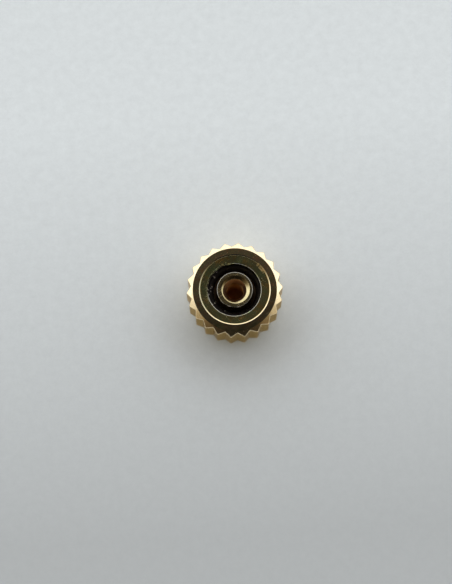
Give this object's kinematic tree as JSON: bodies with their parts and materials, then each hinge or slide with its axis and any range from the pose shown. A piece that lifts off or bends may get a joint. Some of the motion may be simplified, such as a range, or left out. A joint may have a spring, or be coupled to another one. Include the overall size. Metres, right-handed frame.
{
  "type": "watch crown",
  "caption": "Round fluted watch crown with a tapped post, a rubber ring gasket held by a pressed washer, and a domed plain outer end.",
  "frame": {"origin": "centre of the flat outer end face that the crown stands on", "axes": "+Z along the crown's axis, from the outer end towards the watch case; +X through the tip of a tooth"},
  "size_m": [0.004, 0.004, 0.0021],
  "materials": {
    "gold_plated_brass": "polished gold plate on fluted brass",
    "plated_post_brass": "turned and tapped, thin gold plate",
    "black_rubber": "moulded nitrile rubber, satin",
    "plated_washer_brass": "stamped, pale gold plate, slightly dull"
  },
  "bodies": {
    "root": {"crown_head": "gold_plated_brass", "threaded_post": "plated_post_brass", "gasket": "black_rubber", "retaining_washer": "plated_washer_brass"}
  },
  "joints": []
}
